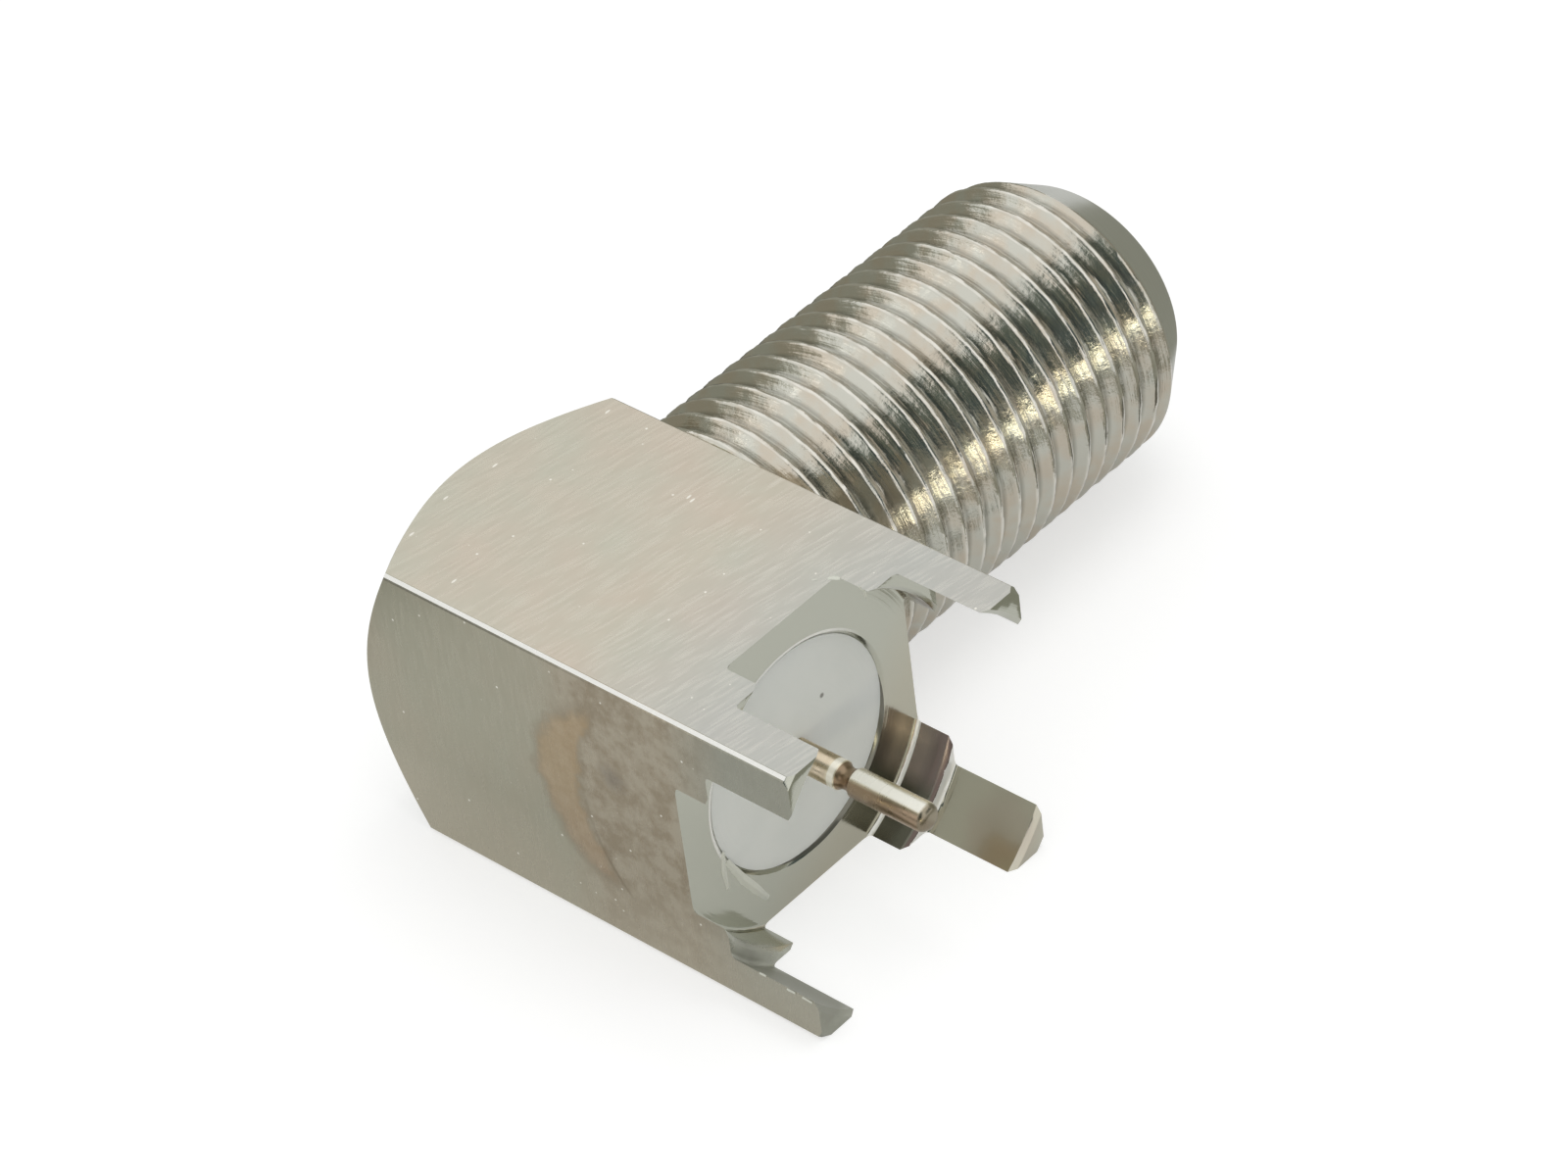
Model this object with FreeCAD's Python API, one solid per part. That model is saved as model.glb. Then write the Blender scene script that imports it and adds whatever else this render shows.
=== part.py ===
import FreeCAD, Part
import math
import os

# Right-angle coaxial jack for a circuit board: a short square bar with four corner legs and a
# gold solder pin at one end, and a threaded barrel pressed into its side.
#
# Frame, in millimetres: the origin is on the solder pin's axis, in the plane where the ledges
# sit on the board. +X runs along the pin and the legs, through the board. +Y runs out of the
# barrel's mouth. +Z is up, and the jack lies on one flat of its bar and on its barrel.

# The thread, which all jacks of this kind share
thread_radius = 4.725
thread_pitch = 0.794
thread_depth_per_pitch = 0.6134
thread_length = 14.05

# The square bar, as wide as the thread so that the jack lies on both
flat_over_thread = 0.025
bar_edge_break = 0.12
barrel_height = 7.84
closed_end_past_barrel_axis = 5.71
closed_end_face_inset = 0.55
closed_end_chamfer_angle = 37.5

# The pocket turned into the board end, which leaves the legs and their ledges at the corners
leg_length = 3.1
leg_width = 1.45
ledge_height = 1.25
ledge_width = 1.02
ledge_lip_break = 0.12
pocket_tool_radius = 0.12
leg_tip_break = 0.15

# The board end's insulator and the bore that holds it
disc_wall = 1.25
disc_gap_to_spigot = 0.47
disc_recess = 0.08
disc_seat_width = 0.5
bore_rim_break = 0.12

# The hollow where the pin meets the contact's tail
hollow_past_barrel_axis = 2.4
hollow_behind_pin = 2.75

# The rest of the barrel
nose_chamfer_angle = 33.0
nose_round = 1.1
mouth_radius = 2.7
mouth_land = 0.05
barrel_wall = 1.038
mouth_lip = 0.8
spigot_wall = 0.6
spigot_gap_to_pin = 0.9

# The barrel's insulator
guide_recess = 0.35
guide_wall = 1.4
guide_hole_radius = 0.75
guide_funnel_radius = 1.7
guide_funnel_depth = 0.9

# The centre contact
contact_radius = 1.25
contact_bore_radius = 0.55
contact_bore_depth = 9.0
contact_slot_width = 0.25
contact_slot_length = 6.0
contact_slot_angle = 45.0
contact_collar_width = 1.5
contact_collar_inset = 1.0
contact_front_gap = 0.15
contact_lead = 0.15
tail_radius = 0.45
tail_past_pin = 0.3

# The solder pin
pin_inner_radius = 0.95
pin_radius = 0.44
pin_neck_radius = 0.33
pin_neck_start = 0.32
pin_neck_width = 0.54
pin_length = 3.5
pin_end_round = 0.26
pin_past_barrel_axis = 1.0

# Fits
slip_clearance = 0.04
cut_overrun = 1.0

# Places that several pieces share
origin = FreeCAD.Vector(0, 0, 0)
along_pin = FreeCAD.Vector(1, 0, 0)
along_barrel = FreeCAD.Vector(0, 1, 0)
half_width = thread_radius + flat_over_thread
leg_circle_radius = math.hypot(half_width, half_width - leg_width)
ledge_circle_radius = math.hypot(half_width, half_width - leg_width - ledge_width)
barrel_x = -barrel_height
closed_end_x = barrel_x - closed_end_past_barrel_axis
floor_x = -ledge_height
disc_radius = half_width - disc_wall
disc_outer_x = floor_x - disc_recess
hollow_radius = disc_radius - disc_seat_width
thread_end_y = half_width + thread_length
thread_root_radius = thread_radius - thread_pitch * thread_depth_per_pitch
barrel_bore_radius = thread_root_radius - barrel_wall
spigot_radius = barrel_bore_radius + spigot_wall
disc_inner_x = barrel_x + spigot_radius + disc_gap_to_spigot
nose_slope = math.radians(nose_chamfer_angle)
round_centre_radius = mouth_radius + mouth_land
chamfer_end_radius = round_centre_radius + nose_round * math.cos(nose_slope)
chamfer_end_y = thread_end_y + (thread_radius - chamfer_end_radius) / math.tan(nose_slope)
nose_end_y = chamfer_end_y + nose_round * (1 - math.sin(nose_slope))
lip_y = nose_end_y - mouth_lip
spigot_y = pin_inner_radius + spigot_gap_to_pin
contact_hole_radius = contact_radius + slip_clearance


def profile_face(points):
    """Flat face from corners in order. A corner given as (middle, end) bends there in an arc."""
    edges = []
    start = points[0]
    for point in points[1:]:
        if isinstance(point, tuple):
            edges.append(Part.Arc(start, point[0], point[1]).toShape())
            start = point[1]
        else:
            edges.append(Part.LineSegment(start, point).toShape())
            start = point
    edges.append(Part.LineSegment(start, points[0]).toShape())
    return Part.Face(Part.Wire(edges))


def pin_side(x, radius):
    """A profile point of what is turned about the pin's axis."""
    return FreeCAD.Vector(x, radius, 0)


def barrel_side(y, radius):
    """A profile point of what is turned about the barrel's axis."""
    return FreeCAD.Vector(barrel_x + radius, y, 0)


def turned_about_pin(points):
    return profile_face(points).revolve(origin, along_pin, 360)


def turned_about_barrel(points):
    centre = FreeCAD.Vector(barrel_x, 0, 0)
    return profile_face(points).revolve(centre, along_barrel, 360)


def rod_along_barrel(radius, start_y, end_y):
    start = FreeCAD.Vector(barrel_x, start_y, 0)
    return Part.makeCylinder(radius, end_y - start_y, start, along_barrel)


def square_bar():
    """The drawn bar, its four long edges broken, from the closed end to the leg tips."""
    wide = half_width
    near = half_width - bar_edge_break
    corners = [
        (wide, near), (near, wide), (-near, wide), (-wide, near),
        (-wide, -near), (-near, -wide), (near, -wide), (wide, -near),
    ]
    points = [FreeCAD.Vector(closed_end_x, y, z) for y, z in corners]
    length = leg_length - closed_end_x
    return profile_face(points).extrude(along_pin * length)


def turned_outline():
    """Everything inside the lathe's path: chamfered at the closed end and round the leg tips."""
    corner_radius = math.hypot(half_width, half_width - bar_edge_break)
    slope = math.tan(math.radians(closed_end_chamfer_angle))
    outer_radius = corner_radius + cut_overrun
    face_radius = half_width - closed_end_face_inset
    chamfer_length = (outer_radius - face_radius) * slope
    tip_break_x = leg_length - leg_tip_break
    return turned_about_pin([
        pin_side(closed_end_x, 0),
        pin_side(closed_end_x, face_radius),
        pin_side(closed_end_x + chamfer_length, outer_radius),
        pin_side(tip_break_x, outer_radius),
        pin_side(tip_break_x, corner_radius),
        pin_side(leg_length, corner_radius - leg_tip_break),
        pin_side(leg_length, 0),
    ])


def board_pocket():
    """What the boring tool takes out: the floor, the ledge step and the round between the legs."""
    bend = pocket_tool_radius
    inset = bend * (1 - math.sqrt(0.5))
    return turned_about_pin([
        pin_side(floor_x, 0),
        pin_side(floor_x, ledge_circle_radius - bend),
        (pin_side(floor_x + inset, ledge_circle_radius - inset),
         pin_side(floor_x + bend, ledge_circle_radius)),
        pin_side(-ledge_lip_break, ledge_circle_radius),
        pin_side(0, ledge_circle_radius + ledge_lip_break),
        pin_side(0, leg_circle_radius - bend),
        (pin_side(inset, leg_circle_radius - inset),
         pin_side(bend, leg_circle_radius)),
        pin_side(leg_length - leg_tip_break, leg_circle_radius),
        pin_side(leg_length, leg_circle_radius + leg_tip_break),
        pin_side(leg_length + cut_overrun, leg_circle_radius + leg_tip_break),
        pin_side(leg_length + cut_overrun, 0),
    ])


def disc_bore():
    """The stepped bore along the pin: a seat for the disc, then the hollow behind it."""
    hollow_end_x = barrel_x - hollow_past_barrel_axis
    return turned_about_pin([
        pin_side(hollow_end_x, 0),
        pin_side(hollow_end_x, hollow_radius),
        pin_side(disc_inner_x, hollow_radius),
        pin_side(disc_inner_x, disc_radius),
        pin_side(floor_x - bore_rim_break, disc_radius),
        pin_side(floor_x, disc_radius + bore_rim_break),
        pin_side(floor_x + cut_overrun, disc_radius + bore_rim_break),
        pin_side(floor_x + cut_overrun, 0),
    ])


def barrel_socket():
    """The cross bore in the bar's side: a seat for the spigot, then room round the pin's end."""
    return turned_about_barrel([
        barrel_side(-hollow_behind_pin, 0),
        barrel_side(-hollow_behind_pin, hollow_radius),
        barrel_side(spigot_y, hollow_radius),
        barrel_side(spigot_y, spigot_radius),
        barrel_side(half_width + cut_overrun, spigot_radius),
        barrel_side(half_width + cut_overrun, 0),
    ])


def housing():
    """The body: one piece of square bar with its four legs."""
    blank = square_bar().common(turned_outline())
    return blank.cut([board_pocket(), disc_bore(), barrel_socket()])


def threaded_barrel():
    """The barrel at its thread's outside size, with a chamfered nose that rounds into the mouth."""
    bend = (nose_slope + math.radians(90)) / 2
    round_centre_y = nose_end_y - nose_round
    return turned_about_barrel([
        barrel_side(spigot_y, barrel_bore_radius),
        barrel_side(spigot_y, spigot_radius),
        barrel_side(half_width, spigot_radius),
        barrel_side(half_width, thread_radius),
        barrel_side(thread_end_y, thread_radius),
        barrel_side(chamfer_end_y, chamfer_end_radius),
        (barrel_side(round_centre_y + nose_round * math.sin(bend),
                     round_centre_radius + nose_round * math.cos(bend)),
         barrel_side(nose_end_y, round_centre_radius)),
        barrel_side(nose_end_y, mouth_radius),
        barrel_side(lip_y, mouth_radius),
        barrel_side(lip_y, barrel_bore_radius),
    ])


def barrel_insulator():
    """The white sleeve in the barrel, with a funnel that guides the cable's core in."""
    sleeve_radius = barrel_bore_radius - slip_clearance
    boss_radius = mouth_radius - slip_clearance
    front_y = nose_end_y - guide_recess
    return turned_about_barrel([
        barrel_side(spigot_y, contact_hole_radius),
        barrel_side(spigot_y, sleeve_radius),
        barrel_side(lip_y, sleeve_radius),
        barrel_side(lip_y, boss_radius),
        barrel_side(front_y, boss_radius),
        barrel_side(front_y, guide_funnel_radius),
        barrel_side(front_y - guide_funnel_depth, guide_hole_radius),
        barrel_side(front_y - guide_wall, guide_hole_radius),
        barrel_side(front_y - guide_wall, contact_hole_radius),
    ])


def centre_contact():
    """The socket for the cable's core: two springy halves, a collar, and a tail to the pin."""
    front_y = nose_end_y - guide_recess - guide_wall - contact_front_gap
    bore_end_y = front_y - contact_bore_depth
    collar_y = spigot_y + contact_collar_inset
    tail_end_y = -pin_inner_radius - tail_past_pin
    body = turned_about_barrel([
        barrel_side(tail_end_y, 0),
        barrel_side(tail_end_y, tail_radius),
        barrel_side(spigot_y, tail_radius),
        barrel_side(spigot_y, contact_radius),
        barrel_side(collar_y, contact_radius),
        barrel_side(collar_y, contact_hole_radius),
        barrel_side(collar_y + contact_collar_width, contact_hole_radius),
        barrel_side(collar_y + contact_collar_width, contact_radius),
        barrel_side(front_y, contact_radius),
        barrel_side(front_y, contact_bore_radius + contact_lead),
        barrel_side(front_y - contact_lead, contact_bore_radius),
        barrel_side(bore_end_y, contact_bore_radius),
        barrel_side(bore_end_y - contact_bore_radius, 0),
    ])
    slot = Part.makeBox(
        2 * contact_radius + 2 * cut_overrun,
        contact_slot_length + cut_overrun,
        contact_slot_width,
        FreeCAD.Vector(
            barrel_x - contact_radius - cut_overrun,
            front_y - contact_slot_length,
            -contact_slot_width / 2,
        ),
    )
    slot.rotate(FreeCAD.Vector(barrel_x, 0, 0), along_barrel, contact_slot_angle)
    return body.cut(slot)


def pin_insulator():
    """The white disc that centres the solder pin, pressed down to its seat."""
    return turned_about_pin([
        pin_side(disc_inner_x, pin_radius),
        pin_side(disc_inner_x, disc_radius),
        pin_side(disc_outer_x, disc_radius),
        pin_side(disc_outer_x, pin_radius),
    ])


def solder_pin():
    """The gold pin: thick inside, where the contact's tail crosses it, and necked at the board."""
    inner_end_x = barrel_x - pin_past_barrel_axis
    neck_middle_x = pin_neck_start + pin_neck_width / 2
    neck_end_x = pin_neck_start + pin_neck_width
    inset = pin_end_round * (1 - math.sqrt(0.5))
    body = turned_about_pin([
        pin_side(inner_end_x, 0),
        pin_side(inner_end_x, pin_inner_radius),
        pin_side(disc_inner_x, pin_inner_radius),
        pin_side(disc_inner_x, pin_radius),
        pin_side(pin_neck_start, pin_radius),
        (pin_side(neck_middle_x, pin_neck_radius), pin_side(neck_end_x, pin_radius)),
        pin_side(pin_length - pin_end_round, pin_radius),
        (pin_side(pin_length - inset, pin_radius - inset),
         pin_side(pin_length, pin_radius - pin_end_round)),
        pin_side(pin_length, 0),
    ])
    cross_hole = rod_along_barrel(
        tail_radius,
        -pin_inner_radius - cut_overrun,
        pin_inner_radius + cut_overrun,
    )
    return body.cut(cross_hole)


pieces = {
    "housing": housing,
    "threaded_barrel": threaded_barrel,
    "barrel_insulator": barrel_insulator,
    "centre_contact": centre_contact,
    "pin_insulator": pin_insulator,
    "solder_pin": solder_pin,
}

os.makedirs("parts", exist_ok=True)
for name, make in pieces.items():
    shape = make()
    shape.exportStep(f"parts/{name}.step")
    print(name, len(shape.Solids), shape.isValid(), round(shape.Volume, 3))
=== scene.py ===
import math

import bmesh
import bpy
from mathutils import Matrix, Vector


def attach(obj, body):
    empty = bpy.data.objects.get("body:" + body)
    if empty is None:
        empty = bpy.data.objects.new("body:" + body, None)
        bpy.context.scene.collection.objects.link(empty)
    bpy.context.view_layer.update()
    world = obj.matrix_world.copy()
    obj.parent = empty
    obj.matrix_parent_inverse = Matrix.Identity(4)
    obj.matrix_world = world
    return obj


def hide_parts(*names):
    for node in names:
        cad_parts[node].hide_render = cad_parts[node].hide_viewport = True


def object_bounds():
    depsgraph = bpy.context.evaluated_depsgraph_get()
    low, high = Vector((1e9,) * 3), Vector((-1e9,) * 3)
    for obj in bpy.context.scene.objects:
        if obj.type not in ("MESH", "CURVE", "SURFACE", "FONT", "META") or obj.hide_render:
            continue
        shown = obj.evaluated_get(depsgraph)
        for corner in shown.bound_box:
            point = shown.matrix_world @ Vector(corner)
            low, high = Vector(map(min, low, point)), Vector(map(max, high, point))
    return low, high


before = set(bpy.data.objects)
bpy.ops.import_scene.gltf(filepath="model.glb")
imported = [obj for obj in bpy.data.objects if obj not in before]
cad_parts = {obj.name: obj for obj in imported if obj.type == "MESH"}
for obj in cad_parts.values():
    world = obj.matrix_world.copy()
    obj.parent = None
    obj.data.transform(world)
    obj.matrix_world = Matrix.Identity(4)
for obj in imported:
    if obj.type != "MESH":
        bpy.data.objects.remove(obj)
cad_low, cad_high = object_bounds()


# The camera stands where the photograph was taken from: above the jack's back, on the side of
# its legs, with a long lens. Place, turn and lens come from the fit to the jack's corners.
mm = 0.001
camera_place_mm = (85.488, -83.238, 106.106)
camera_turn_deg = (49.931, 5.937, 41.111)

camera_data = bpy.data.cameras.new("camera")
camera_data.sensor_width = 36.0
camera_data.lens = 134.54
camera_data.clip_start = 0.01
camera_data.clip_end = 10.0
camera = bpy.data.objects.new("camera", camera_data)
camera.location = Vector(camera_place_mm) * mm
camera.rotation_euler = [math.radians(angle) for angle in camera_turn_deg]
bpy.context.scene.collection.objects.link(camera)
bpy.context.scene.camera = camera
bpy.context.scene.view_settings.view_transform = "Standard"


# The table: white matt paper in an even, bright room. Camera, glass and metal see the room
# white. Metal sees the paper a little darker than the eye does, and the jack's shadow stays.
floor_side_m = 3.0
paper_lift = 0.56
paper_lift_in_metal = 0.45
room_level = 0.80


def colour(hex_code):
    """The linear colour of an sRGB hex code."""
    parts = [int(hex_code[i:i + 2], 16) / 255 for i in (0, 2, 4)]
    return (*[c / 12.92 if c <= 0.04045 else ((c + 0.055) / 1.055) ** 2.4 for c in parts], 1.0)


def add_node(tree, kind, inputs=None, **settings):
    """Adds a node. Each input is a value, an output, or a node, which gives its first output."""
    made = tree.nodes.new(kind)
    for name, value in settings.items():
        setattr(made, name, value)
    for socket, value in (inputs or {}).items():
        if isinstance(value, bpy.types.Node):
            value = value.outputs[0]
        if isinstance(value, bpy.types.NodeSocket):
            tree.links.new(value, made.inputs[socket])
        else:
            made.inputs[socket].default_value = value
    return made


def new_material(name):
    """An empty material, its node tree and its output's surface socket."""
    material = bpy.data.materials.new(name)
    material.use_nodes = True
    material.node_tree.nodes.clear()
    output = material.node_tree.nodes.new("ShaderNodeOutputMaterial")
    return material, material.node_tree, output.inputs["Surface"]


def seen_directly(tree, share_in_metal):
    """1 for rays from the eye and through glass, a share for metal, 0 for light that spreads."""
    path = add_node(tree, "ShaderNodeLightPath")
    metal = add_node(tree, "ShaderNodeMath", {0: path.outputs["Is Glossy Ray"], 1: share_in_metal},
                     operation="MULTIPLY")
    eye = add_node(tree, "ShaderNodeMath", {0: path.outputs["Is Camera Ray"], 1: metal},
                   operation="MAXIMUM")
    return add_node(tree, "ShaderNodeMath", {0: eye, 1: path.outputs["Is Transmission Ray"]},
                    operation="MAXIMUM")


def new_piece(name, mesh, material):
    """An object at the origin that carries a mesh with one material."""
    mesh.materials.clear()
    mesh.materials.append(material)
    made = bpy.data.objects.new(name, mesh)
    bpy.context.scene.collection.objects.link(made)
    return made


def plain_mesh(name, points, faces):
    """A mesh from lists of points and faces."""
    mesh = bpy.data.meshes.new(name)
    mesh.from_pydata([tuple(point) for point in points], [], faces)
    mesh.update()
    return mesh


paper, tree, surface = new_material("matt_white_paper")
matt = add_node(tree, "ShaderNodeBsdfDiffuse", {"Color": colour("C8C8C6")})
lift = add_node(tree, "ShaderNodeEmission", {"Color": colour("FFFFFF"), "Strength": paper_lift})
lifted = add_node(tree, "ShaderNodeAddShader", {0: matt, 1: lift})
seen = add_node(tree, "ShaderNodeMixShader",
                {0: seen_directly(tree, paper_lift_in_metal), 1: matt, 2: lifted})
tree.links.new(seen.outputs[0], surface)
half_side = floor_side_m / 2
floor_z = cad_low.z
floor = new_piece("floor", plain_mesh("floor", [
    (-half_side, -half_side, floor_z), (half_side, -half_side, floor_z),
    (half_side, half_side, floor_z), (-half_side, half_side, floor_z)], [(0, 1, 2, 3)]), paper)

world = bpy.data.worlds.new("room")
bpy.context.scene.world = world
world.use_nodes = True
tree = world.node_tree
tree.nodes.clear()
output = tree.nodes.new("ShaderNodeOutputWorld")
white_room = add_node(tree, "ShaderNodeBackground", {"Color": colour("FFFFFF"), "Strength": 1.0})
room_light = add_node(tree, "ShaderNodeBackground", {"Color": colour("F4F5F7"), "Strength": room_level})
seen = add_node(tree, "ShaderNodeMixShader", {0: seen_directly(tree, 1.0), 1: room_light, 2: white_room})
tree.links.new(seen.outputs[0], output.inputs["Surface"])


# The lamps: a soft box straight above, which metal doesn't mirror, so that the top flat stays
# grey from above, and a low warm lamp at the right. Cards that only shiny metal sees give it
# something dark to mirror, as the things round a camera do. Where a card lies flat on the
# paper near the jack, it is painted shade: metal mirrors the paper there darker than it is lit.
jack_middle = Vector((-5.0, 5.0, 0.0)) * mm


def soft_box(name, toward, distance_mm, width_mm, height_mm, watts, tint):
    """A rectangular soft box that stands toward a direction and faces the jack."""
    light = bpy.data.lights.new(name, "AREA")
    light.shape = "RECTANGLE"
    light.size = width_mm * mm
    light.size_y = height_mm * mm
    light.energy = watts
    light.color = colour(tint)[:3]
    direction = Vector(toward).normalized()
    made = bpy.data.objects.new(name, light)
    made.location = jack_middle + direction * distance_mm * mm
    made.rotation_euler = direction.to_track_quat("Z", "Y").to_euler()
    bpy.context.scene.collection.objects.link(made)
    return made


overhead_box = soft_box("overhead_box", toward=(0.05, 0.15, 0.98), distance_mm=400, width_mm=220,
                        height_mm=220, watts=0.30, tint="FFFFFF")
overhead_box.visible_glossy = False
soft_box("warm_lamp", toward=(0.73, -0.68, 0.04), distance_mm=300, width_mm=100, height_mm=40,
         watts=0.055, tint="FFF6D2")


def card_of(name, hex_code, strength=1.0):
    """A card's material: one even tone."""
    card, tree, surface = new_material(name)
    tone = add_node(tree, "ShaderNodeEmission", {"Color": colour(hex_code), "Strength": strength})
    tree.links.new(tone.outputs[0], surface)
    return card


dark_card = card_of("dark_card", "4C4E48")
cool_card = card_of("cool_card", "4E5858")
mild_card = card_of("mild_card", "6C746C")
dim_card = card_of("dim_card", "66665F")
grey_card = card_of("grey_card", "98988D")
pale_card = card_of("pale_card", "C2C1B6")
window_card = card_of("window_card", "FFFFFF", 2.0)


def card_round(name, card, from_deg, to_deg, outline, steps=24):
    """A card bent round the jack from one angle to another. Its outline is (distance, height)."""
    points = []
    faces = []
    count = len(outline)
    for step in range(steps + 1):
        angle = math.radians(from_deg + (to_deg - from_deg) * step / steps)
        outward = Vector((math.cos(angle), math.sin(angle), 0))
        for distance_mm, height_mm in outline:
            foot = jack_middle + outward * distance_mm * mm
            points.append((foot.x, foot.y, floor_z + height_mm * mm))
        if step < steps:
            first, second = step * count, (step + 1) * count
            faces += [(first + k, second + k, second + k + 1, first + k + 1) for k in range(count - 1)]
    made = new_piece(name, plain_mesh(name, points, faces), card)
    made.visible_camera = False
    made.visible_diffuse = False
    made.visible_shadow = False


# Where these cards lie flat on the paper near the jack, they are painted shade for metal to mirror.
card_round("left_card", grey_card, 120, 180, [(12, 0.2), (200, 0.2), (200, 118)])
card_round("end_card", grey_card, 180, 238, [(23, 0.2), (200, 0.2), (200, 92)])
card_round("back_card", dark_card, 238, 281, [(60, 0.2), (200, 0.2), (200, 22)])
card_round("eye_card", cool_card, 298, 325, [(200, 14), (200, 190), (120, 250)])
card_round("eye_card_side", mild_card, 281, 298, [(200, 14), (200, 190), (120, 250)])
card_round("end_card_top", pale_card, 200, 236, [(200, 92), (200, 112)])
card_round("right_card", cool_card, 5, 52, [(200, 45), (200, 155)])
card_round("nose_card", grey_card, 52, 112, [(20, 0.2), (110, 0.2), (110, 70)])
card_round("floor_card", grey_card, 28, 52, [(11, 0.2), (60, 0.2)])
card_round("barrel_side_card", dim_card, 52, 72, [(13, 0.2), (20, 0.2)])
card_round("left_floor_card", dim_card, 118, 160, [(12, 0.4), (29, 0.4)])
card_round("board_side_card", grey_card, 318, 388, [(17, 0.2), (45, 0.2)])
card_round("window", window_card, 225, 233, [(400, 235), (400, 285)])


# The body: a short piece of square brass bar, turned at both ends and bored out for the legs,
# then plated with satin nickel. Soldering heat has left a brown crescent on its back.
edge_round_mm = 0.06
rounded_edge_deg = 28
drawn_skin_mm = 0.08
brush_line_mm = 0.10
brush_length_mm = 1.0
brush_slant = -0.18
turning_ring_mm = 0.111
mottle_mm = 0.625
blotch_mm = 1.11
cloud_mm = 3.33
bar_half_width_mm = 4.75
pit_spacing_mm = 0.7
pit_radius_mm = 0.045
top_marks_mm = ((-6.88, 2.56), (-6.70, 2.50), (-11.35, 4.10), (-12.38, 0.53), (-12.55, -1.30),
                (-12.25, -2.99), (-9.86, -3.79))
stain_outer_circle_mm = ((-3.27, 0.0, 0.38), 3.48)
stain_inner_circle_mm = ((0.27, 0.0, 0.43), 5.17)
smudge_place_mm = (-3.69, 0.0, 1.31)
step_wall_radius_mm = 5.2
ledge_light_radius_mm = 5.40
leg_stains = (((2.1, 4.0, -4.15), 1.3, "C2B9AA", 0.0), ((1.6, -4.3, -3.9), 2.4, "8B8B7D", 0.8),
              ((-0.55, 4.37, 2.94), 0.4, "6E6658", 0.0), ((-0.20, 4.40, 2.60), 0.4, "9A8C78", 0.0))
disc_edge_radius_mm = 3.60
crescent_radius_mm = 3.5
leg_side_radius_mm = 5.83
back_side_y_mm = -4.6
pocket_x_mm = -2.0
wall_foot_x_mm = -1.12
long_edge_starts_mm = 9.37
long_edge_middle_z_mm = 4.67


def place_in_mm(tree):
    """Where a point lies, in millimetres. A pattern's scale is then its marks per millimetre."""
    place = add_node(tree, "ShaderNodeTexCoord").outputs["Object"]
    return add_node(tree, "ShaderNodeVectorMath", {0: place, "Scale": 1 / mm}, operation="SCALE")


# Satin nickel is a slightly yellow grey that blurs what it mirrors. The turned faces mirror
# sharply and show rings, where the flats show the brush's lines.
satin_nickel, tree, surface = new_material("satin_nickel_plate")
place = place_in_mm(tree)
axes = add_node(tree, "ShaderNodeSeparateXYZ", {0: place})
turned = add_node(tree, "ShaderNodeAttribute", attribute_name="turned").outputs["Fac"]
wander = add_node(tree, "ShaderNodeTexNoise", {
    "Vector": place, "Scale": 1 / mottle_mm, "Detail": 5.0, "Roughness": 0.65})
slow = add_node(tree, "ShaderNodeTexNoise", {"Vector": place, "Scale": 1 / blotch_mm, "Detail": 2.0})
wander_mm = add_node(tree, "ShaderNodeMath", {0: slow, 1: wander}, operation="ADD")
wander_mm = add_node(tree, "ShaderNodeMapRange", {
    "Value": wander_mm, "From Max": 2.0, "To Min": -0.7, "To Max": 0.7})

clouds = add_node(tree, "ShaderNodeTexNoise", {"Vector": place, "Scale": 1 / cloud_mm, "Detail": 4.0})
share = add_node(tree, "ShaderNodeMapRange", {"Value": clouds, "From Min": 0.35, "From Max": 0.65})
base = add_node(tree, "ShaderNodeMix", {0: share, 6: colour("CBC8B8"), 7: colour("D1C6B6")},
                data_type="RGBA").outputs[2]
# Painted shade: the back is painted darker than the other flats.
on_back = add_node(tree, "ShaderNodeMath", {0: axes.outputs["Y"], 1: back_side_y_mm}, operation="LESS_THAN")
share = add_node(tree, "ShaderNodeMath", {0: on_back, 1: 0.65}, operation="MULTIPLY")
base = add_node(tree, "ShaderNodeMix", {0: share, 6: base, 7: colour("9E9C87")}, data_type="RGBA").outputs[2]
share = add_node(tree, "ShaderNodeMapRange", {
    "Value": axes.outputs["X"], "From Min": -5.0, "From Max": 0.0, "To Min": 0.0, "To Max": 0.8})
base = add_node(tree, "ShaderNodeMix", {0: share, 6: base, 7: colour("C0C2BE")}, data_type="RGBA").outputs[2]

# The brush's lines lie a little aslant across the bar, and are strongest near the board's end.
# They are drawn coarser than the real ones, which are too fine to show.
aslant = add_node(tree, "ShaderNodeMath", {0: axes.outputs["Y"], 1: brush_slant, 2: axes.outputs["X"]},
                  operation="MULTIPLY_ADD")
stretched = add_node(tree, "ShaderNodeCombineXYZ", {
    "X": aslant, "Y": axes.outputs["Y"], "Z": axes.outputs["Z"]})
brush_marks = (1 / brush_line_mm, 1 / brush_length_mm, 1 / brush_length_mm)
stretched = add_node(tree, "ShaderNodeVectorMath", {0: stretched, 1: brush_marks}, operation="MULTIPLY")
lines = add_node(tree, "ShaderNodeTexNoise", {"Vector": stretched, "Scale": 1.0, "Detail": 3.0})
board_end = add_node(tree, "ShaderNodeMapRange", {
    "Value": axes.outputs["X"], "From Min": -10.0, "From Max": -2.0, "To Min": 0.12, "To Max": 0.8})
not_back = add_node(tree, "ShaderNodeMath", {0: on_back, 1: -0.7, 2: 1.0}, operation="MULTIPLY_ADD")
board_end = add_node(tree, "ShaderNodeMath", {0: board_end, 1: not_back}, operation="MULTIPLY")
share = add_node(tree, "ShaderNodeMapRange", {
    "Value": lines, "From Min": 0.48, "From Max": 0.75, "To Max": 0.45})
share = add_node(tree, "ShaderNodeMath", {0: share, 1: board_end}, operation="MULTIPLY")
base = add_node(tree, "ShaderNodeMix", {0: share, 6: base, 7: colour("DEDBD0")}, data_type="RGBA").outputs[2]

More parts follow.
